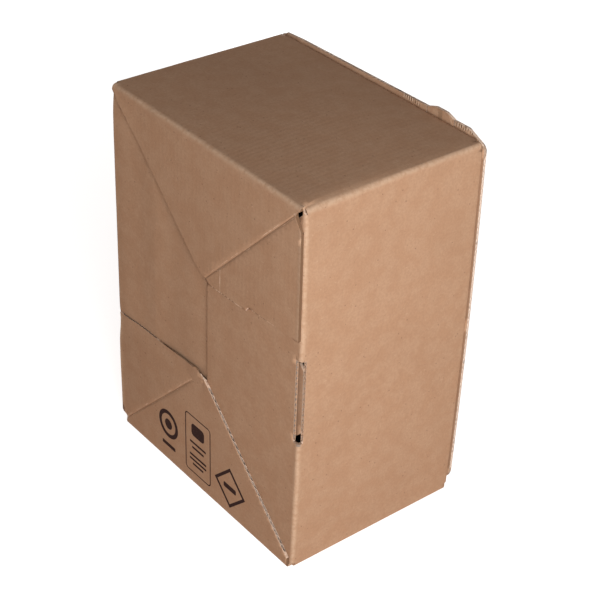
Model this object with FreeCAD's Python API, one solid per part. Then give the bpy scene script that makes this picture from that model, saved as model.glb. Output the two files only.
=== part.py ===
import FreeCAD, Part
import math
import os

from FreeCAD import Vector

# A closed shipping carton of corrugated board, standing on one short wall.
# X is its width, Y its depth from the self-locking base (-Y) to the sealed
# closure (+Y), Z its length. The origin is the middle of the face it stands on.

# Board
board = 1.6
fold_radius = 2.2
layer_gap = 0.2

# Waves inside the board, which show as rows of cells at the cut edges
flute_pitch = 3.2
flute_web = 0.2
flute_depth = 1.5
liner = 0.22
cell_overshoot = 0.3
edge_margin = 1.5

# Inside width and length, and the depth between the scored fold lines
inner_width = 155.4
inner_length = 214.4
scored_depth = 110.8

# Gap between the lid and the inner flap, which the sealing strip fills
seal_gap = 0.35

# Corner reliefs: how far each hinge stops short of the carton's corner
minor_relief = 4.4
cut_relief = 2.4
major_relief = 3.2
closure_relief = 4.6
lid_hinge_relief = 0.8

# Base flaps of the short walls, with a diagonal fold and a glued tab.
# A "short" value is how far a point stops short of half the width.
upper_cut_start = 0.7
upper_knee_x = -2.6
upper_knee_short = 7.4
upper_corner_x = 8.7
upper_corner_short = 1.9
upper_tab_gap = 0.9
upper_tab_slant = 13.0
lower_cut_start = 4.2
lower_knee_x = -4.4
lower_knee_short = 1.5
lower_corner_x = 1.5
lower_corner_short = -3.1
lower_tab_gap = 0.3
lower_tab_slant = 7.5
tab_edge_rise = 5.0
tab_end_inset = 5.2
tab_notch = 2.8
tab_notch_place = 40.0
tab_notch_width = 1.6
crease_width = 1.3
crease_depth = 0.35
crease_end = 6.0
glue_inset = 7.0
glue_reach = 24.0

# Base flaps of the long walls
major_edge_x = 4.2
major_setback = 13.0
major_top_short = 2.6
major_crease_clear = 3.5
major_foot_chamfer = 12.0
major_foot_gap = 3.0
underlap = 12.0
joggle_start = 44.0
joggle_run = 41.0
tongue_drop = 2.3

# Slot through the base fold of the right wall, and the tongue that locks in it
slot_length = 50.0
slot_drop = 0.8
slot_flap_depth = 3.9
slot_wall_depth = 4.2
tongue_width = 44.5
tongue_top_gap = 0.5
tongue_tip_gap = 0.15
tongue_corner = 3.0

# Closure flaps
dust_reach = 74.0
dust_kink = 2.2
dust_taper = 6.0
inner_flap_reach = 92.0
inner_flap_taper = 5.0
lid_overhang = 2.3
lid_hinge_overhang = 0.2
lid_ramp = 14.0
lid_ramp_overhang = 1.0
lid_foot_gap = 2.9
lid_edge_gap = 0.2
lid_corner_radius = 10.0
lid_slant_x = 12.0
lid_slant_z = 3.2

# Thumb tab of the tear tape, on the lid's upper edge
thumb_centre = 47.0
thumb_width = 20.0
thumb_height = 2.1
thumb_shoulder = 6.0
thumb_fillet = 4.0
nick_width = 0.5
nick_length = 6.0

# Sealing strip and tear tape, between the lid and the inner flap
strip_width = 10.0
strip_edge_gap = 7.0
strip_end_gap = 9.0
tape_width = 3.0
tape_thickness = 0.15

# Glued seam of the wall sleeve
seam_flap_reach = 32.0
seam_flap_taper = 9.0
seam_edge_gap = 0.8

# Sizes that follow from the ones above
layer = board + layer_gap
inside_radius = fold_radius - board
half = inner_width / 2 + board
tall = inner_length + 2 * board
total_depth = layer + scored_depth + seal_gap + board
minor_level = -total_depth / 2
major_level = minor_level + layer
tongue_level = major_level + tongue_drop
inner_level = major_level + scored_depth
dust_level = inner_level - layer
lid_level = inner_level + seal_gap + board

LEFT = Vector(-1, 0, 0)
RIGHT = Vector(1, 0, 0)
BASE = Vector(0, -1, 0)
CLOSURE = Vector(0, 1, 0)
FOOT = Vector(0, 0, -1)
TOP = Vector(0, 0, 1)


def block(x0, x1, y0, y1, z0, z1):
    """A straight piece of board or a cutter between two corners."""
    corner = Vector(min(x0, x1), min(y0, y1), min(z0, z1))
    return Part.makeBox(abs(x1 - x0), abs(y1 - y0), abs(z1 - z0), corner)


def outline(points, y):
    """A closed outline in the XZ plane at depth y, each corner (x, z) or (x, z, radius)."""
    corners = [Vector(p[0], y, p[1]) for p in points]
    radii = [p[2] if len(p) > 2 else 0.0 for p in points]
    count = len(points)
    edges = []
    ends = []
    for i, radius in enumerate(radii):
        here = corners[i]
        if radius == 0.0:
            ends.append((here, here))
            continue
        back = (corners[i - 1] - here).normalize()
        ahead = (corners[(i + 1) % count] - here).normalize()
        opening = back.getAngle(ahead)
        run = radius / math.tan(opening / 2)
        start = here + back * run
        end = here + ahead * run
        middle = (back + ahead).normalize()
        centre = here + middle * (radius / math.sin(opening / 2))
        edges.append((i, Part.Arc(start, centre - middle * radius, end).toShape()))
        ends.append((start, end))
    arcs = dict(edges)
    path = []
    for i in range(count):
        if i in arcs:
            path.append(arcs[i])
        start = ends[i][1]
        end = ends[(i + 1) % count][0]
        if start.distanceToPoint(end) > 1e-6:
            path.append(Part.makeLine(start, end))
    return Part.Face(Part.Wire(path))


def sheet(points, level, inward, thickness=board):
    """A flat panel whose outer face lies at the given depth."""
    return outline(points, level).extrude(inward * thickness)


def fold(corner, first, second, along, length):
    """A rounded fold between two panels with the given outward directions."""
    centre = corner - (first + second) * fold_radius
    diagonal = (first + second).normalize()
    outer = Part.Arc(
        centre + first * fold_radius,
        centre + diagonal * fold_radius,
        centre + second * fold_radius,
    ).toShape()
    inner = Part.Arc(
        centre + second * inside_radius,
        centre + diagonal * inside_radius,
        centre + first * inside_radius,
    ).toShape()
    bridge = Part.makeLine(centre + second * fold_radius, centre + second * inside_radius)
    close = Part.makeLine(centre + first * inside_radius, centre + first * fold_radius)
    return Part.Face(Part.Wire([outer, bridge, inner, close])).extrude(along * length)


def flute_cells(start, along, across, inwards, length, slope=0.0):
    """The open cells at a cut edge: triangles that point in and out by turns.
    The edge runs from start along one direction and may lean inwards by a slope."""
    wave = board - 2 * liner
    lean = math.atan2(wave, flute_pitch / 2)
    half_base = flute_pitch / 2 - flute_web / 2 / math.sin(lean)
    height = wave - flute_web / 2 / math.cos(lean)
    lead = cell_overshoot + abs(slope) * half_base
    count = int((length - flute_pitch) / (flute_pitch / 2))
    first = (length - count * flute_pitch / 2) / 2
    cells = []
    for i in range(count + 1):
        place = first + i * flute_pitch / 2
        middle = start + along * place + inwards * (slope * place - lead)
        foot = liner if i % 2 else board - liner
        tip = liner + height if i % 2 else board - liner - height
        corners = [
            middle - along * half_base + across * foot,
            middle + along * half_base + across * foot,
            middle + across * tip,
        ]
        cell = Part.Face(Part.makePolygon(corners + corners[:1]))
        cells.append(cell.extrude(inwards * (lead + flute_depth)))
    return cells


def half_turn(shape):
    """The same shape turned half a turn about the middle of the base."""
    turned = shape.copy()
    turned.rotate(Vector(0, 0, tall / 2), Vector(0, 1, 0), 180)
    return turned


def join(shapes):
    """One solid from pieces that touch."""
    whole = shapes[0].fuse(shapes[1:])
    return whole.removeSplitter()


def wall_sleeve():
    """The four walls, the three folds between them and the glued seam flap."""
    side_front = major_level + fold_radius
    end_front = minor_level + fold_radius
    end_back = inner_level - fold_radius
    x_flat = half - fold_radius
    z_flat = tall - fold_radius
    right = block(half - board, half, side_front, inner_level - fold_radius, fold_radius, z_flat)
    left = block(-half, board - half, side_front, lid_level - fold_radius, board + fold_radius, z_flat)
    top = block(-x_flat, x_flat, end_front, end_back, tall - board, tall)
    foot = block(seam_edge_gap - half, x_flat, side_front, end_back, 0, board)
    foot_lip = block(minor_relief - half, half - cut_relief, end_front, side_front, 0, board)
    run = end_back - side_front
    folds = [
        fold(Vector(half, side_front, tall), RIGHT, TOP, CLOSURE, run),
        fold(Vector(-half, side_front, tall), LEFT, TOP, CLOSURE, run),
        fold(Vector(half, side_front, 0), RIGHT, FOOT, CLOSURE, run),
    ]
    seam_fold = fold(Vector(-half, side_front, board), LEFT, FOOT, CLOSURE, run)
    trims = [
        block(half - minor_relief, half, end_front, side_front, tall - board, tall),
        block(cut_relief - half, -half, end_front, side_front, tall - board, tall),
    ]
    top = top.cut(trims)
    return [right, left, top, foot, foot_lip, seam_fold, seam_flap()] + folds


def seam_flap():
    """The sleeve's glue flap, lying on the inside of the wall that it stands on."""
    front = major_level + fold_radius
    back = inner_level - fold_radius
    root = fold_radius - half
    tip = seam_flap_reach - half
    corners = [
        Vector(root, front, board),
        Vector(tip, front + seam_flap_taper, board),
        Vector(tip, back - seam_flap_taper, board),
        Vector(root, back, board),
    ]
    return Part.Face(Part.makePolygon(corners + corners[:1])).extrude(TOP * board)


def lower_edge_cells(first, last):
    """Cells along a base flap's lower edge from one outline point (x, z) to the next."""
    slope = (last[1] - first[1]) / (last[0] - first[0])
    start = Vector(first[0] + edge_margin, minor_level, first[1] + slope * edge_margin)
    run = last[0] - first[0] - 2 * edge_margin
    return flute_cells(start, RIGHT, CLOSURE, TOP, run, slope)


def minor_flap(cut_start, knee_x, knee_short, corner_x, corner_short, tab_gap, tab_slant):
    """A base flap of the top wall, with its hinge, its glued tab and the diagonal fold."""
    hinge = half - minor_relief
    cut_hinge = half - cut_relief
    z_hinge = tall - fold_radius
    side = half - tab_gap
    corner = (corner_x, tall - half + corner_short)
    slope_end = (side, corner[1] + tab_edge_rise)
    lean = tab_edge_rise / (side - corner_x)
    notch_z = corner[1] + lean * (tab_notch_place - corner_x)
    before_notch = (tab_notch_place - tab_notch_width, notch_z - tab_notch / 2)
    after_notch = (tab_notch_place, notch_z + tab_notch / 2)
    cut_top = (-cut_hinge, tall - cut_start - cut_relief)
    knee = (knee_x, tall - half + knee_short)
    points = [
        (-cut_hinge, z_hinge),
        cut_top,
        knee + (3.0,),
        corner,
        before_notch,
        after_notch,
        slope_end,
        (side, tall - tab_slant, tab_slant / 4),
        (half - tab_end_inset, tall - tab_end_inset - 1.0),
        (hinge, z_hinge),
    ]
    cells = lower_edge_cells(cut_top, knee)
    cells += lower_edge_cells(corner, before_notch)
    cells += lower_edge_cells(after_notch, slope_end)
    panel = sheet(points, minor_level, CLOSURE).cut(cells + [diagonal_crease(corner_x)])
    start = Vector(-cut_hinge, minor_level, tall)
    return panel.fuse(fold(start, BASE, TOP, RIGHT, hinge + cut_hinge))


def diagonal_crease(end_x):
    """The crushed groove of the diagonal fold, a shallow vee in the outer face."""
    start = Vector(half - crease_end, minor_level, tall - crease_end)
    run = start.x - end_x + crease_end
    across = Vector(1, 0, -1).normalize() * (crease_width / 2)
    lip = BASE * 0.1
    corners = [start + across + lip, start - across + lip, start - across]
    corners = corners + [start + CLOSURE * crease_depth, start + across]
    groove = Part.Face(Part.makePolygon(corners + corners[:1]))
    return groove.extrude(Vector(-run, 0, -run))


def glue_patch():
    """The glue between an upper tab and the long wall's flap under it."""
    low = tall - half + tab_edge_rise + glue_inset
    side = half - upper_tab_gap - glue_inset
    points = [(side, low), (side, low + glue_reach), (side - glue_reach, low)]
    return outline(points, minor_level + board).extrude(CLOSURE * layer_gap)


def major_outline(edge_x, setback):
    """Outline of a long wall's base flap, hinged on the right."""
    hinge = half - fold_radius
    rise = tall - half - major_crease_clear
    shoulder = tall - half + major_top_short
    return [
        (hinge, major_foot_gap),
        (edge_x + major_foot_chamfer, major_foot_gap),
        (edge_x, major_foot_gap + major_foot_chamfer),
        (edge_x, shoulder),
        (setback + major_edge_x, shoulder),
        (setback + major_edge_x, setback + major_edge_x + rise),
        (hinge, hinge + rise),
    ]


def major_hinge():
    """The fold that carries a long wall's base flap."""
    length = tall - major_foot_gap - major_relief
    return fold(Vector(half, major_level, major_foot_gap), RIGHT, BASE, TOP, length)


def right_major():
    """The long wall's base flap that lies on top at the middle of the base."""
    panel = sheet(major_outline(major_edge_x, major_setback), major_level, CLOSURE)
    low = half - lower_corner_short
    start = Vector(major_edge_x, major_level, low)
    run = tall - half + upper_corner_short - low
    panel = panel.cut(flute_cells(start, TOP, CLOSURE, RIGHT, run))
    return panel.fuse(major_hinge())


def slot_cutters():
    """The slot through the fold of the right wall, with the open cells of its two long edges."""
    top = tall / 2 - slot_drop + slot_length / 2
    low = top - slot_length
    inner_x = half - slot_flap_depth
    deep = major_level + slot_wall_depth
    opening = block(inner_x, half + 1, major_level - 1, deep, low, top)
    flap_edge = Vector(inner_x, major_level, low)
    wall_edge = Vector(half, deep, low)
    flap_cells = flute_cells(flap_edge, TOP, CLOSURE, LEFT, slot_length)
    wall_cells = flute_cells(wall_edge, TOP, LEFT, CLOSURE, slot_length)
    return [opening] + flap_cells + wall_cells


def tongue_major():
    """The left wall's base flap, drawn hinged on the right: it steps down under the
    other one and ends in a tongue that reaches into the slot."""
    hinge = half - fold_radius
    tip = tongue_tip_gap - half
    step = joggle_start - joggle_run
    section = [
        Vector(hinge, major_level, 0),
        Vector(joggle_start, major_level, 0),
        Vector(step, tongue_level, 0),
        Vector(tip, tongue_level, 0),
        Vector(tip, tongue_level + board, 0),
        Vector(step, tongue_level + board, 0),
        Vector(joggle_start, major_level + board, 0),
        Vector(hinge, major_level + board, 0),
    ]
    band = Part.Face(Part.makePolygon(section + section[:1])).extrude(TOP * tall)
    slot_top = tall / 2 - slot_drop + slot_length / 2
    low = tall - slot_top + tongue_top_gap
    high = low + tongue_width
    body = major_outline(-underlap, major_setback)
    tongue = [
        (1 - underlap, low),
        (tip + tongue_corner, low),
        (tip, low + tongue_corner),
        (tip, high - tongue_corner),
        (tip + tongue_corner, high),
        (1 - underlap, high),
    ]
    reach = CLOSURE * (tongue_level - major_level + 2 * board)
    shape = outline(body, major_level).extrude(reach)
    shape = shape.fuse(outline(tongue, major_level).extrude(reach))
    tip_start = Vector(tip, tongue_level, low + tongue_corner)
    tip_cells = flute_cells(tip_start, TOP, CLOSURE, RIGHT, tongue_width - 2 * tongue_corner)
    return band.common(shape).cut(tip_cells).fuse(major_hinge())


def dust_flap():
    """The short wall's closure flap, the innermost layer. It dips under the inner flap
    straight after its fold."""
    hinge = half - closure_relief
    z_hinge = tall - fold_radius
    z_low = z_hinge - dust_kink
    z_tip = tall - dust_reach
    points = [
        (-hinge, z_hinge),
        (dust_taper - hinge, z_tip, 5.0),
        (hinge - dust_taper, z_tip, 5.0),
        (hinge, z_hinge),
    ]
    section = [
        Vector(-half, inner_level, z_hinge),
        Vector(-half, dust_level, z_low),
        Vector(-half, dust_level, z_tip),
        Vector(-half, dust_level - board, z_tip),
        Vector(-half, dust_level - board, z_low),
        Vector(-half, inner_level - board, z_hinge),
    ]
    band = Part.Face(Part.makePolygon(section + section[:1])).extrude(RIGHT * 2 * half)
    shape = outline(points, inner_level).extrude(BASE * (layer + 2 * board))
    hinge_fold = fold(Vector(-hinge, inner_level, tall), CLOSURE, TOP, RIGHT, 2 * hinge)
    return band.common(shape).fuse(hinge_fold)


def inner_flap():
    """The right wall's closure flap, which the lid is sealed to."""
    low = closure_relief
    high = tall - closure_relief
    tip = half - inner_flap_reach
    points = [
        (half - fold_radius, low),
        (half - fold_radius, high),
        (tip, high - inner_flap_taper, 6.0),
        (tip, low + inner_flap_taper, 6.0),
    ]
    panel = sheet(points, inner_level, BASE)
    hinge_fold = fold(Vector(half, inner_level, low), RIGHT, CLOSURE, TOP, high - low)
    return panel.fuse(hinge_fold)


def lid():
    """The left wall's closure flap, which covers the whole closure and stands above it."""
    root = fold_radius - half
    edge = half - lid_edge_gap
    high = tall + lid_overhang
    ramp_end = root + lid_ramp
    thumb_half = thumb_width / 2
    crown = high + thumb_height
    points = [
        (root, lid_foot_gap),
        (root, tall + lid_hinge_overhang),
        (ramp_end, tall + lid_ramp_overhang),
        (thumb_centre - thumb_half, high, thumb_fillet),
        (thumb_centre - thumb_half + thumb_shoulder, crown, thumb_shoulder),
        (thumb_centre + thumb_half - thumb_shoulder, crown, thumb_shoulder),
        (thumb_centre + thumb_half, high, thumb_fillet),
        (edge - lid_slant_x, high, thumb_fillet),
        (edge, tall - lid_slant_z, thumb_fillet),
        (edge, lid_foot_gap, lid_corner_radius),
    ]
    panel = sheet(points, lid_level, BASE)
    low = major_foot_gap + closure_relief
    run = tall - low - lid_hinge_relief
    hinge_fold = fold(Vector(-half, lid_level, low), LEFT, CLOSURE, TOP, run)
    nicks = []
    for side in (-1, 1):
        x = thumb_centre + side * thumb_half
        nicks.append(
            block(
                x - nick_width / 2,
                x + nick_width / 2,
                lid_level + 1,
                lid_level - board - 0.1,
                high - nick_length,
                high + thumb_height,
            )
        )
    ramp_start = Vector(ramp_end + edge_margin, lid_level, tall + lid_ramp_overhang)
    thumb_left = thumb_centre - thumb_half - thumb_fillet
    thumb_right = thumb_centre + thumb_half + thumb_fillet
    corner_x = edge - lid_slant_x - edge_margin
    side_start = Vector(edge, lid_level, lid_foot_gap + lid_corner_radius)
    side_run = tall - lid_slant_z - thumb_fillet - side_start.z
    rise = (high - ramp_start.z) / (thumb_centre - thumb_half - ramp_end)
    ramp_start.z += rise * edge_margin
    cells = flute_cells(ramp_start, RIGHT, BASE, FOOT, thumb_left - ramp_start.x, -rise)
    cells += flute_cells(Vector(thumb_right, lid_level, high), RIGHT, BASE, FOOT, corner_x - thumb_right)
    cells += flute_cells(side_start, TOP, BASE, LEFT, side_run)
    return panel.cut(nicks + cells).fuse(hinge_fold)


def carton_blank():
    """The whole folded and glued sheet."""
    upper = minor_flap(
        upper_cut_start,
        upper_knee_x,
        upper_knee_short,
        upper_corner_x,
        upper_corner_short,
        upper_tab_gap,
        upper_tab_slant,
    )
    lower = minor_flap(
        lower_cut_start,
        lower_knee_x,
        lower_knee_short,
        lower_corner_x,
        lower_corner_short,
        lower_tab_gap,
        lower_tab_slant,
    )
    slotted = join(wall_sleeve() + [right_major()]).cut(slot_cutters())
    pieces = [
        slotted,
        upper,
        half_turn(lower),
        glue_patch(),
        half_turn(glue_patch()),
        half_turn(tongue_major()),
        dust_flap(),
        half_turn(dust_flap()),
        inner_flap(),
        lid(),
    ]
    return join(pieces)


def seal_adhesive():
    """The strip of adhesive that holds the lid on the inner flap."""
    edge = half - lid_edge_gap - strip_edge_gap
    return block(
        edge - strip_width,
        edge,
        inner_level,
        inner_level + seal_gap,
        strip_end_gap,
        tall - strip_end_gap,
    )


def tear_tape():
    """The tape on the lid's inner face that tears it open from the thumb tab."""
    inner_face = lid_level - board
    return block(
        thumb_centre - tape_width / 2,
        thumb_centre + tape_width / 2,
        inner_face - tape_thickness,
        inner_face,
        lid_foot_gap,
        tall + lid_overhang + thumb_height,
    )


def main():
    os.makedirs("parts", exist_ok=True)
    nodes = {
        "carton_blank": carton_blank(),
        "seal_adhesive": seal_adhesive(),
        "tear_tape": tear_tape(),
    }
    for name, shape in nodes.items():
        solids = len(shape.Solids)
        print(name, "solids", solids, "valid", shape.isValid(), "volume", round(shape.Volume, 1))
        shape.exportStep("parts/" + name + ".step")


main()
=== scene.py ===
import math

import bmesh
import bpy
import numpy as np
from mathutils import Matrix, Vector, noise


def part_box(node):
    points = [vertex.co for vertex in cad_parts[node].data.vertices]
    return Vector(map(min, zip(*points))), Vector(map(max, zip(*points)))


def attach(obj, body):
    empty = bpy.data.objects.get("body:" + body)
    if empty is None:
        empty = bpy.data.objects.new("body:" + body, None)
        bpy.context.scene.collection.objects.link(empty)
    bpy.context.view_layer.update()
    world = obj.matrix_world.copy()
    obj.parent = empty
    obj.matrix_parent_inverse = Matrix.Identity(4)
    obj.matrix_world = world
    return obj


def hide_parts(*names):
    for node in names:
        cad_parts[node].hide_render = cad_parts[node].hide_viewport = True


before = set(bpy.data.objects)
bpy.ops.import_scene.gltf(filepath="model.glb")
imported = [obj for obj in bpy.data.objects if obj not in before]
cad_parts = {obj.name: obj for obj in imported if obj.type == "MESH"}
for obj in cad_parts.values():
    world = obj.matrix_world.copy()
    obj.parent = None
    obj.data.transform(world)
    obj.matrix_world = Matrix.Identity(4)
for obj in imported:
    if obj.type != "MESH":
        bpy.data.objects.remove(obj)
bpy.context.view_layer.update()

MM = 0.001
fine = 0.03 * MM

# Sizes of the carton, as the frame has them
blank_low, blank_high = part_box("carton_blank")
board = 1.6 * MM
layer = 1.8 * MM
fold_radius = 2.2 * MM
half = blank_high[0]
tall = 217.6 * MM
base_y = blank_low[1]
lid_y = blank_high[1]
flute_pitch = 3.2 * MM

# The same sizes in millimetres
board_mm = board / MM
half_mm = half / MM
tall_mm = tall / MM
depth_mm = (lid_y - base_y) / MM

# Camera, fitted to the carton's corners
camera_place = Vector((0.5391, -0.4374, 0.5617))
camera_forward = Vector((-0.64373, 0.53259, -0.54951))
camera_right = Vector((0.61996, 0.78391, 0.03352))
focal_pixels = 1543.7
image_pixels = 600
sensor_mm = 36.0

# Studio
world_colour = (1.0, 0.83, 0.77, 1.0)
world_strength = 0.142
white = (1.0, 1.0, 1.0, 1.0)
floor_reach = 6.0
floor_drop = 0.02 * MM
floor_bounce = (0.62, 0.49, 0.42, 1.0)
floor_seen = (0.85, 0.85, 0.85, 1.0)
floor_glow = 0.76


def make_camera():
    """The camera at the photograph's viewing angle."""
    data = bpy.data.cameras.new("camera")
    data.sensor_width = sensor_mm
    data.lens = focal_pixels / image_pixels * sensor_mm
    data.clip_start = 0.01
    data.clip_end = 20.0
    camera = bpy.data.objects.new("camera", data)
    bpy.context.collection.objects.link(camera)
    forward = camera_forward.normalized()
    right = (camera_right - forward * camera_right.dot(forward)).normalized()
    up = right.cross(forward)
    turn = Matrix((right, up, -forward)).transposed().to_4x4()
    camera.matrix_world = Matrix.Translation(camera_place) @ turn
    bpy.context.scene.camera = camera
    return camera


def area_light(name, place, aim, size, watts, colour):
    """A square soft light that faces a point."""
    data = bpy.data.lights.new(name, "AREA")
    data.shape = "SQUARE"
    data.size = size
    data.energy = watts
    data.color = colour
    lamp = bpy.data.objects.new(name, data)
    bpy.context.collection.objects.link(lamp)
    lamp.location = place
    lamp.rotation_euler = (Vector(aim) - Vector(place)).to_track_quat("-Z", "Y").to_euler()
    return lamp


def make_lights():
    """A key light beside the slotted wall, a low one behind and a weak even world."""
    middle = (0.0, 0.0, 0.108)
    area_light("key", (0.88, -0.46, 0.44), middle, size=0.45, watts=10.0, colour=(1.0, 1.0, 1.0))
    area_light("back", (-0.75, 0.70, 0.11), middle, size=0.20, watts=5.0, colour=(1.0, 0.97, 0.94))
    world = bpy.data.worlds.new("world")
    bpy.context.scene.world = world
    world.use_nodes = True
    nodes = world.node_tree.nodes
    links = world.node_tree.links
    nodes.clear()
    out = nodes.new("ShaderNodeOutputWorld")
    soft = nodes.new("ShaderNodeBackground")
    soft.inputs["Color"].default_value = world_colour
    soft.inputs["Strength"].default_value = world_strength
    plain = nodes.new("ShaderNodeBackground")
    plain.inputs["Color"].default_value = white
    plain.inputs["Strength"].default_value = 1.0
    path = nodes.new("ShaderNodeLightPath")
    seen = nodes.new("ShaderNodeMath")
    seen.operation = "MAXIMUM"
    links.new(path.outputs["Is Camera Ray"], seen.inputs[0])
    links.new(path.outputs["Is Glossy Ray"], seen.inputs[1])
    mix = nodes.new("ShaderNodeMixShader")
    links.new(seen.outputs[0], mix.inputs["Fac"])
    links.new(soft.outputs[0], mix.inputs[1])
    links.new(plain.outputs[0], mix.inputs[2])
    links.new(mix.outputs[0], out.inputs["Surface"])


class Tree:
    """A short way to build a material's nodes."""

    def __init__(self, name):
        self.material = bpy.data.materials.new(name)
        self.material.use_nodes = True
        self.nodes = self.material.node_tree.nodes
        self.links = self.material.node_tree.links
        self.nodes.clear()
        self.out = self.nodes.new("ShaderNodeOutputMaterial")

    def node(self, kind, **settings):
        made = self.nodes.new("ShaderNode" + kind)
        for key, value in settings.items():
            setattr(made, key, value)
        return made

    def link(self, source, target):
        self.links.new(source, target)

    def feed(self, socket, value):
        if isinstance(value, bpy.types.NodeSocket):
            self.link(value, socket)
        else:
            socket.default_value = value

    def math(self, operation, a, b=0.0, c=0.0):
        made = self.node("Math", operation=operation)
        for socket, value in zip(made.inputs, (a, b, c)):
            self.feed(socket, value)
        return made.outputs[0]

    def gather(self, operation, values):
        """One value from several, such as their product."""
        total = values[0]
        for value in values[1:]:
            total = self.math(operation, total, value)
        return total

    def product(self, *values):
        return self.gather("MULTIPLY", values)

    def largest(self, *values):
        return self.gather("MAXIMUM", values)

    def smallest(self, *values):
        return self.gather("MINIMUM", values)

    def split(self, vector):
        made = self.node("SeparateXYZ")
        self.link(vector, made.inputs[0])
        return made.outputs["X"], made.outputs["Y"], made.outputs["Z"]

    def attribute(self, name):
        return self.node("Attribute", attribute_name=name).outputs["Fac"]

    def range(self, value, low, high, to_low=0.0, to_high=1.0):
        made = self.node("MapRange", interpolation_type="SMOOTHSTEP")
        self.feed(made.inputs["Value"], value)
        made.inputs["From Min"].default_value = low
        made.inputs["From Max"].default_value = high
        made.inputs["To Min"].default_value = to_low
        made.inputs["To Max"].default_value = to_high
        return made.outputs["Result"]

    def noise(self, vector, scale, detail=2.0, roughness=0.5):
        made = self.node("TexNoise")
        self.link(vector, made.inputs["Vector"])
        made.inputs["Scale"].default_value = scale
        made.inputs["Detail"].default_value = detail
        made.inputs["Roughness"].default_value = roughness
        return made.outputs["Fac"]

    def mix(self, factor, a, b, blend="MIX"):
        made = self.node("Mix", data_type="RGBA", blend_type=blend)
        self.feed(made.inputs["Factor"], factor)
        self.feed(made.inputs[6], a)
        self.feed(made.inputs[7], b)
        return made.outputs[2]

    def stretch(self, vector, turn, scale):
        made = self.node("Mapping")
        self.link(vector, made.inputs["Vector"])
        made.inputs["Rotation"].default_value = turn
        made.inputs["Scale"].default_value = scale
        return made.outputs["Vector"]


kraft_colour = (0.505, 0.302, 0.184, 1.0)
kraft_dark = (0.385, 0.218, 0.128, 1.0)
kraft_light = (0.640, 0.458, 0.318, 1.0)
kraft_pale = (0.800, 0.580, 0.420, 1.0)
# The dark and light colours of cut ends and open cells stand partly for the board's own colour and
# partly for painted shade and painted light; cell_dark is also the painted shade on the tongue, and
# edge_dark the painted shadow under pressed lines.
cell_dark = (0.060, 0.032, 0.018, 1.0)
cell_light = (0.900, 0.740, 0.620, 1.0)
edge_dark = (0.200, 0.112, 0.062, 1.0)
edge_light = (0.860, 0.660, 0.520, 1.0)
ink_colour = (0.030, 0.011, 0.009, 1.0)
speck_colour = (0.200, 0.100, 0.055, 1.0)
adhesive_colour = (0.500, 0.400, 0.270, 1.0)
tape_colour = (0.440, 0.270, 0.165, 1.0)

# Printed shapes, in millimetres: middles as (x, z), bars as (x, z, half width, half height)
ink_blur = 0.12
bar_rounding = 0.6
heavy_stroke = 2.6
light_stroke = 0.8
ring_middle = (-31.0, 27.0)
ring_radius = 8.0
ring_dot = (3.6, 3.3)
panel_middle = (-2.5, 28.0)
panel_half = (11.5, 19.5)
panel_corner = 2.2
diamond_middle = (27.0, 20.0)
diamond_reach = 12.5
printed_bars = (
    (-31.0, 12.0, 6.4, 1.3),
    (-2.5, 38.5, 6.0, 4.2),
    (-2.5, 29.5, 7.5, 0.75),
    (-2.5, 26.0, 5.5, 0.75),
    (-2.5, 20.5, 7.8, 0.75),
    (-2.5, 17.5, 7.8, 0.75),
    (-2.5, 14.5, 5.0, 0.75),
    (27.0, 20.0, 5.6, 1.7),
)

# Pressed and torn lines, in millimetres
diagonal = 0.7071
crease_light = 1.3
crease_shadow = 0.35
shadow_drop = 0.9
crease_wobble = 0.35 * MM
edge_print = (17.3, 147.5, 0.32, 6.5)
torn_edges = ((8.9, 38.3, 140.5, 0.028), (40.2, 66.0, 144.1, 0.02))
torn_edge_width = 0.5
torn_liners = ((66.0, 9.0), (26.0, 8.0))
torn_ridge_pitch = 1.6 * MM


def near(tree, distance, width):
    """One inside a printed stroke, from the distance to its middle line."""
    away = tree.math("ABSOLUTE", distance)
    return tree.range(away, (width / 2 + ink_blur) * MM, (width / 2 - ink_blur) * MM)


def beside(tree, across, along, x, z):
    """The distances of a shading point from a print's middle, along the two directions."""
    return tree.math("SUBTRACT", across, x * MM), tree.math("SUBTRACT", along, z * MM)


def radius(tree, dx, dz):
    """The distance from a print's middle."""
    squares = tree.math("ADD", tree.math("MULTIPLY", dx, dx), tree.math("MULTIPLY", dz, dz))
    return tree.math("SQRT", squares)


def box_distance(tree, dx, dz, half_x, half_z, corner):
    """The distance from the outline of a rectangle with rounded corners."""
    out_x = tree.math("SUBTRACT", tree.math("ABSOLUTE", dx), (half_x - corner) * MM)
    out_z = tree.math("SUBTRACT", tree.math("ABSOLUTE", dz), (half_z - corner) * MM)
    outside = radius(tree, tree.math("MAXIMUM", out_x, 0.0), tree.math("MAXIMUM", out_z, 0.0))
    inside = tree.math("MINIMUM", tree.math("MAXIMUM", out_x, out_z), 0.0)
    return tree.math("SUBTRACT", tree.math("ADD", outside, inside), corner * MM)


def bar(tree, across, along, x, z, half_x, half_z):
    """A printed bar."""
    dx, dz = beside(tree, across, along, x, z)
    corner = min(half_x, half_z) * bar_rounding
    distance = box_distance(tree, dx, dz, half_x, half_z, corner)
    return tree.range(distance, ink_blur * MM, -ink_blur * MM)


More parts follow.
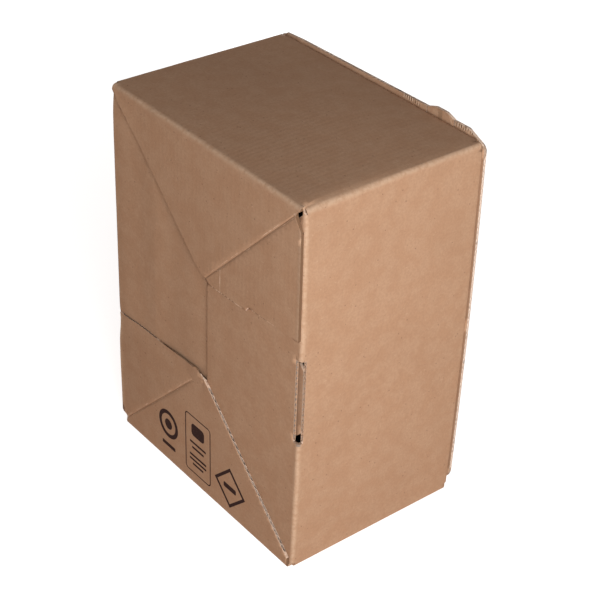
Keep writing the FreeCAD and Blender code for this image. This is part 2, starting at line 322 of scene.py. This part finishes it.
def printed_marks(tree, place):
    """The plain printed shapes on the lower base flap: a ring, a framed panel and a diamond."""
    across, _, along = tree.split(place)
    shapes = [bar(tree, across, along, *sizes) for sizes in printed_bars]
    from_ring = radius(tree, *beside(tree, across, along, *ring_middle))
    stroke = tree.math("SUBTRACT", from_ring, ring_radius * MM)
    shapes.append(near(tree, stroke, heavy_stroke))
    shapes.append(tree.range(from_ring, ring_dot[0] * MM, ring_dot[1] * MM))
    dx, dz = beside(tree, across, along, *panel_middle)
    frame_line = box_distance(tree, dx, dz, *panel_half, panel_corner)
    shapes.append(near(tree, frame_line, light_stroke))
    dx, dz = beside(tree, across, along, *diamond_middle)
    reach = tree.math("ADD", tree.math("ABSOLUTE", dx), tree.math("ABSOLUTE", dz))
    stroke = tree.math("SUBTRACT", reach, diamond_reach * MM)
    shapes.append(near(tree, stroke, heavy_stroke))
    return tree.largest(*shapes)


def pressed_lines(tree, place):
    """Masks on the base: its crushed diagonal folds, their shadows and the torn tab's edge."""
    across, _, along = tree.split(place)
    cloud = tree.noise(place, 180.0, 2.0)
    wobble = tree.range(cloud, 0.2, 0.8, -crease_wobble, crease_wobble)
    lights = [bar(tree, across, along, *edge_print)]
    shadows = []
    for sign, level in ((1.0, tall - half), (-1.0, half)):
        offset = tree.math("SUBTRACT", tree.math("SUBTRACT", along, level), across)
        offset = tree.math("ADD", tree.math("MULTIPLY", offset, diagonal), wobble)
        from_tip = tree.math("MULTIPLY", across, sign)
        within = tree.product(
            tree.range(from_tip, 4.5 * MM, 6.5 * MM),
            tree.range(from_tip, half - 4 * MM, half - 7 * MM),
        )
        beneath = tree.math("ADD", offset, shadow_drop * MM)
        lights.append(tree.product(near(tree, offset, crease_light), within))
        shadows.append(tree.product(near(tree, beneath, crease_shadow), within))
    torn = []
    for low, high, level, slope in torn_edges:
        offset = tree.math("SUBTRACT", along, tree.math("MULTIPLY", across, slope))
        offset = tree.math("SUBTRACT", offset, (level - slope * low) * MM)
        within = tree.product(
            tree.range(across, low * MM, (low + 0.5) * MM),
            tree.range(across, high * MM, (high - 6) * MM),
        )
        torn.append(tree.product(near(tree, offset, torn_edge_width), within))
    return tree.largest(*lights), tree.largest(*shadows), tree.largest(*torn)


def torn_liner(tree, place):
    """Where the liner is torn off beside the thumb tab, and the flutes that show there."""
    across, depth, along = tree.split(place)
    parts = []
    for x, reach in torn_liners:
        offset = tree.math("ABSOLUTE", tree.math("SUBTRACT", across, x * MM))
        parts.append(tree.range(offset, reach * MM, (reach - 2) * MM))
    bared = tree.product(
        tree.largest(*parts),
        tree.range(tree.noise(place, 500.0, 2.0), 0.40, 0.50),
        tree.range(along, tall, tall + 0.4 * MM),
        tree.range(depth, lid_y - 2.4 * MM, lid_y - 2.2 * MM),
        tree.range(depth, lid_y - 0.3 * MM, lid_y - 0.5 * MM),
    )
    wave = tree.math("SINE", tree.math("MULTIPLY", across, 2 * math.pi / torn_ridge_pitch))
    return bared, tree.range(wave, -0.4, 0.4)


def paper(tree, place):
    """The liner's colour, cloudy and with fibres and specks, and the parts of its relief."""
    cloud = tree.noise(place, 22.0, 3.0)
    patch = tree.noise(place, 110.0, 3.0)
    grain = tree.noise(place, 800.0, 2.0)
    tone = tree.mix(tree.range(cloud, 0.3, 0.7, 0.0, 0.20), kraft_colour, kraft_dark)
    tone = tree.mix(tree.range(patch, 0.35, 0.65, 0.0, 0.18), tone, kraft_light)
    tone = tree.mix(tree.range(grain, 0.3, 0.7, 0.0, 0.32), tone, kraft_dark)
    fibres = []
    for turn, thinness in (
        (0.5, (1.0, 1.0, 0.25)),
        (1.3, (1.0, 0.25, 1.0)),
        (2.2, (0.25, 1.0, 1.0)),
    ):
        thin = tree.stretch(place, (turn, turn * 0.7, turn * 1.4), thinness)
        fibres.append(tree.noise(thin, 1300.0, 1.0))
    longest = tree.largest(*fibres)
    shortest = tree.smallest(*fibres)
    tone = tree.mix(tree.range(longest, 0.70, 0.82, 0.0, 0.40), tone, kraft_light)
    tone = tree.mix(tree.range(shortest, 0.28, 0.17, 0.0, 0.55), tone, kraft_dark)
    specks = tree.node("TexVoronoi", feature="F1")
    tree.link(place, specks.inputs["Vector"])
    specks.inputs["Scale"].default_value = 330.0
    chosen = tree.range(tree.noise(place, 240.0, 1.0), 0.56, 0.60)
    dot = tree.range(specks.outputs["Distance"], 0.17, 0.09)
    tone = tree.mix(tree.product(dot, chosen, 0.6), tone, speck_colour)
    return tone, ((grain, 0.03), (longest, 0.03), (patch, 0.08))


def marked(tree, place, tone, wear_and_highlight, front):
    """The colour with worn folds that also carry a painted highlight, the pressed and torn lines of
    the base with the painted shadows of the pressed lines, and its prints.
    """
    wear_and_highlight_patches = tree.range(tree.noise(place, 420.0, 4.0, 0.65), 0.36, 0.60, 0.30, 1.0)
    # Fold wear and painted highlight: the folds are lightened towards kraft_light, in patches.
    tone = tree.mix(tree.product(wear_and_highlight, wear_and_highlight_patches, 0.85), tone, kraft_light)
    pressed, shadow, torn = pressed_lines(tree, place)
    dashes = tree.range(tree.noise(place, 210.0, 3.0, 0.6), 0.40, 0.56, 0.25, 1.0)
    tone = tree.mix(tree.product(pressed, front, dashes, 0.85), tone, kraft_pale)
    tone = tree.mix(tree.product(shadow, front, 0.28), tone, edge_dark)
    dots = tree.range(tree.noise(place, 620.0, 1.0), 0.44, 0.56)
    tone = tree.mix(tree.product(torn, front, 0.7), tone, tree.mix(dots, edge_dark, kraft_pale))
    wet = tree.range(tree.noise(place, 1500.0, 2.0), 0.25, 0.40, 0.88, 1.0)
    ink = tree.product(printed_marks(tree, place), front, wet)
    tone = tree.mix(ink, tone, ink_colour)
    bared, ridges = torn_liner(tree, place)
    return tree.mix(bared, tone, tree.mix(ridges, edge_dark, kraft_pale))


def cut_board(tree, place, tone):
    """The colour with the board's cut ends and its open cells, each face lighter or darker partly as
    painted light and shade, and the tongue darkened by painted shade.
    """
    raw = tree.attribute("raw")
    light = tree.attribute("light")
    fuzz = tree.range(tree.noise(place, 1300.0, 2.0), 0.35, 0.65)
    # Painted light and shade, partly the board's own colour: each cut face lies between edge_dark and
    # edge_light by its stored lightness.
    cut = tree.mix(light, edge_dark, edge_light)
    cut = tree.mix(tree.math("MULTIPLY", fuzz, 0.38), cut, edge_dark)
    cell = tree.range(raw, 0.6, 0.9)
    # Open cells lie between cell_dark, a painted shade, and cell_light, partly painted light, by the
    # stored lightness.
    cut = tree.mix(cell, cut, tree.mix(light, cell_dark, cell_light))
    tone = tree.mix(tree.range(raw, 0.2, 0.4), tone, cut)
    # Painted shade on the tongue, towards cell_dark.
    return tree.mix(tree.attribute("shade"), tone, cell_dark)


def kraft_material():
    """Uncoated brown kraft liner: cloudy, with fibres, specks, worn folds with a painted highlight,
    cut faces partly in painted light and shade, a tongue in painted shade and faint flutes.
    """
    tree = Tree("kraft_board")
    place = tree.node("TexCoord").outputs["Object"]
    wear_and_highlight = tree.attribute("wear_and_highlight")
    tone, relief = paper(tree, place)
    tone = marked(tree, place, tone, wear_and_highlight, tree.attribute("printed"))
    tone = cut_board(tree, place, tone)
    waves = tree.math("MULTIPLY", tree.attribute("flute"), 2 * math.pi / flute_pitch)
    height = tree.math("MULTIPLY", tree.math("SINE", waves), 0.012)
    for part, share in relief:
        height = tree.math("ADD", height, tree.math("MULTIPLY", part, share))
    crush = tree.noise(place, 420.0, 3.0, 0.6)
    height = tree.math("ADD", height, tree.product(wear_and_highlight, crush, 0.35))
    bump = tree.node("Bump")
    bump.inputs["Strength"].default_value = 0.9
    bump.inputs["Distance"].default_value = 1.0 * MM
    tree.link(height, bump.inputs["Height"])
    shader = tree.node("BsdfPrincipled")
    tree.link(tone, shader.inputs["Base Color"])
    tree.link(bump.outputs["Normal"], shader.inputs["Normal"])
    shader.inputs["Roughness"].default_value = 0.82
    shader.inputs["Specular IOR Level"].default_value = 0.25
    tree.link(shader.outputs[0], tree.out.inputs["Surface"])
    return tree.material


def film_material(name, colour, roughness):
    """A thin plastic film with a faint cloudiness."""
    tree = Tree(name)
    place = tree.node("TexCoord").outputs["Object"]
    cloud = tree.range(tree.noise(place, 120.0), 0.3, 0.7)
    darker = tuple(0.8 * c for c in colour[:3]) + (1.0,)
    shader = tree.node("BsdfPrincipled")
    tree.link(tree.mix(cloud, colour, darker), shader.inputs["Base Color"])
    shader.inputs["Roughness"].default_value = roughness
    tree.link(shader.outputs[0], tree.out.inputs["Surface"])
    return tree.material


def floor_material():
    """A white studio floor that still takes the carton's shadow."""
    tree = Tree("floor")
    path = tree.node("LightPath")
    seen = path.outputs["Is Camera Ray"]
    diffuse = tree.node("BsdfDiffuse")
    tree.link(tree.mix(seen, floor_bounce, floor_seen), diffuse.inputs["Color"])
    glow = tree.node("Emission")
    glow.inputs["Color"].default_value = white
    tree.link(tree.math("MULTIPLY", seen, floor_glow), glow.inputs["Strength"])
    both = tree.node("AddShader")
    tree.link(diffuse.outputs[0], both.inputs[0])
    tree.link(glow.outputs[0], both.inputs[1])
    tree.link(both.outputs[0], tree.out.inputs["Surface"])
    return tree.material


def make_floor():
    """A wide floor under the carton."""
    mesh = bpy.data.meshes.new("floor")
    corners = [(x * floor_reach, y * floor_reach, 0) for x, y in ((-1, -1), (1, -1), (1, 1), (-1, 1))]
    mesh.from_pydata(corners, [], [(0, 1, 2, 3)])
    floor = bpy.data.objects.new("floor", mesh)
    bpy.context.collection.objects.link(floor)
    floor.location.z = -floor_drop
    floor.data.materials.append(floor_material())


# How far the sheet gives, in millimetres
wall_bow = 1.3
left_bow = 1.6
base_bow = 0.6
top_bow = 1.8
fold_bulge = 1.3
shoulder_width = 7.0
shoulder_sag = 1.6
hinge_crush = 2.0
hinge_crush_front = 0.4
hinge_drop = 0.3
wall_end_forward = 1.3
wall_end_drop = 0.5
major_end_rise = 2.2
slot_edge_forward = 1.0
slot_edge_slant = 0.3
tongue_aside = 1.0
tongue_top_drop = 2.8
tongue_foot_drop = 2.2
tab_crush = 0.8
tab_drop = 1.8
tab_slant = 0.8
tab_notch_x = -39.2
tab_end_aside = 3.0
major_raise = 1.4
rumple_width = 5.0 * MM
rumple_height = 0.22 * MM
rumple_scale = 130.0


def step(value, low, high):
    """A smooth rise from nought to one."""
    t = np.clip((value - low) / (high - low), 0, 1)
    return t * t * (3 - 2 * t)


def fall(value, low, high):
    """A smooth fall from one to nought."""
    return step(-value, -high, -low)


def bowed(x, z, deep, inward):
    """Shifts of the walls that bow out between their corners, and of the top's sagging end."""
    rise = np.clip(z / tall_mm, 0, 1)
    depth = np.clip(deep / depth_mm, 0, 1)
    side = np.clip(x / half_mm, -1, 1)
    swell = np.sin(np.pi * rise)
    plateau = step(rise, 0, 0.2) * step(1 - rise, -0.1, 0.15)
    right = np.clip(side, 0, 1) ** 3
    left = np.clip(-side, 0, 1) ** 3
    bare = 0.3 + 0.7 * step(z, 60, 84)
    aside = wall_bow * swell * right - left_bow * plateau * left * bare
    lengthwise = np.cos(np.pi / 2 * side)
    front = np.clip(1 - 2 * depth, 0, 1) ** 4
    free = step(z, 66, 80) * fall(z, tall_mm - 16, tall_mm + 4)
    outer = fall(x, 2 - half_mm, 26 - half_mm)
    forward = base_bow * swell * lengthwise * front + fold_bulge * free * outer * front
    upper = np.clip(2 * rise - 1, 0, 1) ** 6
    shoulder = np.clip(1 - inward / shoulder_width, 0, 1) ** 2
    shoulder = shoulder * (1 - 0.75 * step(depth, 0.15, 0.6))
    shoulder = shoulder * step(depth, -0.03, 0.06) * step(1 - depth, 0.02, 0.12)
    up = (top_bow * lengthwise * np.sin(np.pi * depth) - shoulder_sag * shoulder) * upper
    return aside, -forward, up


def crushed_corner(deep, below, inward):
    """Shifts of the crushed corner where the top, the slotted wall and the base meet."""
    hinge_end = fall(inward, 4.6, 14) * step(inward, 3.0, 4.2) * fall(below, 1.6, 4.5)
    crush = hinge_crush + hinge_crush_front * fall(deep, 2.3, 3.9)
    aside = crush * hinge_end * fall(deep, 4, 9)
    hinge_down = hinge_drop * hinge_end * fall(deep, 3, 6)
    wall_end = fall(inward, 2.3, 5) * fall(below, 2.4, 5)
    wall_end = wall_end * step(deep, 3.7, 3.95) * fall(deep, 4.1, 12)
    wall_down = wall_end_drop * wall_end * fall(below, 1.0, 2.4)
    major_end = fall(inward, 6, 12) * step(inward, 1.2, 2.4) * fall(below, 3.3, 10)
    major_end = major_end * step(deep, 1.5, 1.75) * fall(deep, 3.6, 3.9) * (below > 3.0)
    up = major_end_rise * major_end - hinge_down - wall_down
    return aside, -wall_end_forward * wall_end, up


def slot_edges(z, deep, inward):
    """Shifts of the wall's edge at the slot, which comes forward, and of the tongue in it."""
    wall_edge = step(z, 77, 83) * fall(z, 133, 139) * fall(inward, 2, 4)
    wall_edge = wall_edge * step(deep, 3.99, 6.0) * fall(deep, 6.05, 16)
    tongue = (inward > fine / MM) & (inward < 12) & (deep > 4.0) & (deep < 5.8)
    tongue = tongue & (z > 83.5) & (z < 132.5)
    slant = slot_edge_slant * np.clip((133 - z) / 50, 0, 1)
    forward = np.where(tongue, 0, wall_edge) * (slot_edge_forward + slant)
    aside = np.where(tongue, tongue_aside * fall(inward, 1, 12), 0)
    drop = tongue_top_drop * step(z, 116, 131) + tongue_foot_drop * fall(z, 88, 102)
    return -aside, -forward, -np.where(tongue, drop, 0)


def base_flaps(x, z, deep):
    """Shifts of the lower flap's pressed edge, and of what bulges under the right flap's edge."""
    on_minor = deep < board_mm + fine / MM
    crushed = step(z, 66, 79) * fall(z, 90, 100) * fall(x, 0, 3)
    back = tab_crush * crushed * np.clip(1 - deep / board_mm, 0, 1)
    drop = tab_drop + tab_slant * fall(x, -38, -10)
    drop = drop * step(z, 68, 79) * fall(z, 90, 100) * fall(x, -2, 4)
    drop = np.where(on_minor & (x > tab_notch_x), drop, 0)
    tab_end = step(z, 56, 78) * fall(x, 6 - half_mm, 20 - half_mm)
    aside = np.where(on_minor & (z < 90), tab_end_aside * tab_end, 0)
    under_major = (deep > board_mm) & (deep < 8) & ((x < 4.1) | (deep > 3.5))
    raised = step(x, -34, -1) * fall(x, 6, 20)
    raised = raised * step(z, 20, 60) * fall(z, tall_mm - 60, tall_mm - 20)
    forward = np.where(under_major, major_raise * raised, 0)
    return aside, back - forward, -drop


def warp(points):
    """The slack of the folded sheet: bowed walls, and a dented corner, slot and base."""
    x, y, z = points.T / MM
    deep = y - base_y / MM
    below = tall_mm - z
    inward = half_mm - x
    shifts = (
        bowed(x, z, deep, inward),
        crushed_corner(deep, below, inward),
        slot_edges(z, deep, inward),
        base_flaps(x, z, deep),
    )
    moved = points + np.sum(shifts, axis=0).T * MM
    rumple = np.clip(1 - edge_distance(points) / rumple_width, 0, 1) * rumple_height
    wave = np.array([noise.noise(Vector(p) * rumple_scale) for p in points])
    moved = moved + np.outer(rumple * wave, (1, -1, 1))
    moved[:, 2] = np.maximum(moved[:, 2], 0.0)
    return moved


carton_spacing = 3.4 * MM
# Width of the band of fold wear and painted highlight at the carton's edges
wear_and_highlight_width = 2.8 * MM


def second_smallest(a, b, c):
    """The middle one of three distances: small only near a carton's edge."""
    return np.sort(np.stack([a, b, c]), axis=0)[1]


def edge_distance(points):
    """How far each point lies from the nearest outer edge of the carton."""
    x, y, z = points.T
    from_side = half - np.abs(x)
    from_end = np.minimum(np.abs(z), np.abs(tall - z))
    under = np.where((from_side < 6 * MM) & (y > base_y + 1.2 * MM), layer, 0.0)
    from_face = np.minimum(np.abs(y - base_y - under), lid_y - y)
    return second_smallest(from_side, from_end, from_face)


def cut_in_grid(bm, spacing):
    """Cuts the outer faces along a regular grid, so that the sheet can bow."""
    low = [-half, base_y, 0.0]
    high = [half, lid_y, tall]
    for axis in range(3):
        count = int((high[axis] - low[axis]) / spacing)
        normal = Vector((0, 0, 0))
        normal[axis] = 1
        for i in range(1, count):
            place = Vector((0, 0, 0))
            place[axis] = low[axis] + (high[axis] - low[axis]) * i / count
            faces = [f for f in bm.faces if abs(f.normal[axis]) < 0.7]
            edges = {e for f in faces for e in f.edges}
            verts = {v for f in faces for v in f.verts}
            geometry = list(verts) + list(edges) + faces
            bmesh.ops.bisect_plane(bm, geom=geometry, dist=1e-6, plane_co=place, plane_no=normal)


def dress(node, name, spacing, material):
    """A piece that stands for a node: the same form, cut finely and bowed."""
    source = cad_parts[node]
    bm = bmesh.new()
    bm.from_mesh(source.data)
    bm.transform(source.matrix_world)
    bmesh.ops.remove_doubles(bm, verts=bm.verts, dist=2e-6)
    bm.normal_update()
    if spacing:
        cut_in_grid(bm, spacing)
    mesh = bpy.data.meshes.new(name)
    bm.normal_update()
    bm.to_mesh(mesh)
    bm.free()
    count = len(mesh.vertices)
    points = np.empty(count * 3)
    mesh.vertices.foreach_get("co", points)
    points = points.reshape(-1, 3)
    shade_by_place(mesh, points)
    points = warp(points)
    mesh.vertices.foreach_set("co", points.ravel())
    mesh.update()
    piece = bpy.data.objects.new(name, mesh)
    bpy.context.collection.objects.link(piece)
    mesh.materials.append(material)
    mesh.shade_smooth()
    mesh.set_sharp_from_angle(angle=math.radians(38))
    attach(piece, "root")
    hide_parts(node)
    return piece


def shade_by_place(mesh, points):
    """Stores for the material where the folds are worn and carry a painted highlight, where painted
    shade darkens the tongue, where the sheet is cut and how light each cut face is, partly as painted
    light and shade, where it is printed, and how its flutes run.
    """
    # Fold wear and painted highlight, strongest at the carton's edges and left off the tongue
    folds = np.clip(1 - edge_distance(points) / wear_and_highlight_width, 0, 1)
    x, y, z = points.T
    deep = y - base_y
    inward = half - x
    tongue = (inward > fine) & (inward < 12 * MM) & (deep > 3.9 * MM) & (deep < 5.9 * MM)
    tongue = tongue & (z > 80 * MM) & (z < 135 * MM)
    wear_and_highlight = np.where(tongue, 0, folds)
    shade = np.where(tongue, 0.02 + 0.3 * np.clip(inward / (4 * MM), 0, 1), 0)
    for name, values in (("shade", shade), ("wear_and_highlight", wear_and_highlight)):
        store = mesh.attributes.new(name, "FLOAT", "POINT")
        store.data.foreach_set("value", values.astype(np.float32))
    count = len(mesh.polygons)
    place = np.zeros(len(mesh.loops), np.float32)
    raw = np.zeros(count, np.float32)
    light = np.zeros(count, np.float32)
    printed = np.zeros(count, np.float32)
    for i, polygon in enumerate(mesh.polygons):
        normal = polygon.normal
        middle = polygon.center
        on_minor = middle.y < base_y + board
        along_x = abs(normal.z) > 0.7 or (abs(normal.y) > 0.7 and on_minor)
        axis = 0 if along_x else 2
        for loop in polygon.loop_indices:
            place[loop] = points[mesh.loops[loop].vertex_index][axis]
        raw[i], light[i] = cut_edge(middle, normal)
        printed[i] = middle.y < base_y + 0.02 * MM
    corner = mesh.attributes.new("flute", "FLOAT", "CORNER")
    corner.data.foreach_set("value", place)
    for name, values in (("raw", raw), ("light", light), ("printed", printed)):
        store = mesh.attributes.new(name, "FLOAT", "FACE")
        store.data.foreach_set("value", values)


# How raw a face is
liner = 0.0
board_end = 0.5
in_cell = 1.0


def minor_edge(middle, normal, flat, in_folds_z):
    """The edges of the two outer base flaps, lighter or darker by their facing, partly as painted
    light and shade.
    """
    if in_folds_z and abs(normal.x) < 0.9:
        return liner, 0.0
    beside_tab = middle.x < 2 * MM and middle.z < 130 * MM
    if not flat:
        return in_cell, (0.0 if beside_tab and middle.z > 77 * MM else 0.3)
    if beside_tab and middle.z > 80 * MM:
        return board_end, 0.15
    side = abs(normal.x) > 0.9 or (normal.x > 0.3 and middle.z > tall - 16 * MM)
    return board_end, (0.0 if side else 0.8)


def lid_edge(middle, normal, flat, inner_x):
    """The edges of the lid, lighter or darker by their facing, partly as painted light and shade."""
    if middle.x < -inner_x and abs(normal.z) < 0.9:
        return liner, 0.0
    if normal.x > 0.7:
        return board_end, 0.5
    return (board_end, 1.0) if flat else (in_cell, 0.9)


def slot_edge(normal, flat, deep):
    """The cut edges around the slot, from their depth behind the base; deep cells are dark as painted
    shade, and the other faces are partly painted light and shade.
    """
    if flat:
        return board_end, 0.45
    if deep > 6.0 * MM - fine:
        return (board_end, 1.0) if normal.y < -0.9 and deep < 6.05 * MM else (in_cell, 0.05)
    return (in_cell, 0.3) if abs(normal.y) < 0.97 else (liner, 0.0)


def cut_edge(middle, normal):
    """Whether a face is liner, the end of the board or inside a cell, and how light it is, partly as
    painted light and shade.
    """
    deep = middle.y - base_y
    inner_x = half - fold_radius - fine
    in_folds_z = middle.z > tall - fold_radius - fine or middle.z < fold_radius + fine
    in_folds_x = abs(middle.x) > inner_x
    flat = abs(normal.y) < 0.3
    if deep < 0.42 * MM and normal.y < -0.3:
        return liner, 0.0
    behind_major = abs(deep - layer - fold_radius) < fine
    # Painted shade: the face deep in the crushed top corner is made dark.
    if normal.y < -0.9 and behind_major and middle.z > tall - 4 * MM:
        return board_end, 0.1
    if fine < deep < board - fine:
        return minor_edge(middle, normal, flat, in_folds_z)
    if fine < lid_y - middle.y < board - fine:
        return lid_edge(middle, normal, flat, inner_x)
    slot = middle.x > half - 4.2 * MM and 82 * MM < middle.z < 134 * MM
    wall_side = abs(middle.x - half) < fine or abs(middle.x - half + board) < fine
    if slot and deep < 6.4 * MM and not wall_side:
        return slot_edge(normal, flat, deep)
    between = board + fine < middle.z < tall - board - fine and not in_folds_x
    if between and layer + fine < deep < layer + board - fine and abs(normal.y) < 0.97:
        return (board_end, 0.4) if flat else (in_cell, 0.2)
    if deep < layer + fold_radius and in_folds_x and abs(normal.z) > 0.9:
        return board_end, 0.6
    return liner, 0.0


scene = bpy.context.scene
scene.view_settings.view_transform = "Standard"
make_camera()
make_lights()
make_floor()
kraft = kraft_material()
glue = film_material("adhesive", adhesive_colour, roughness=0.5)
film = film_material("tape", tape_colour, roughness=0.45)
dress("carton_blank", "carton", carton_spacing, kraft)
dress("seal_adhesive", "adhesive_strip", 0, glue)
dress("tear_tape", "tear_strip", 0, film)
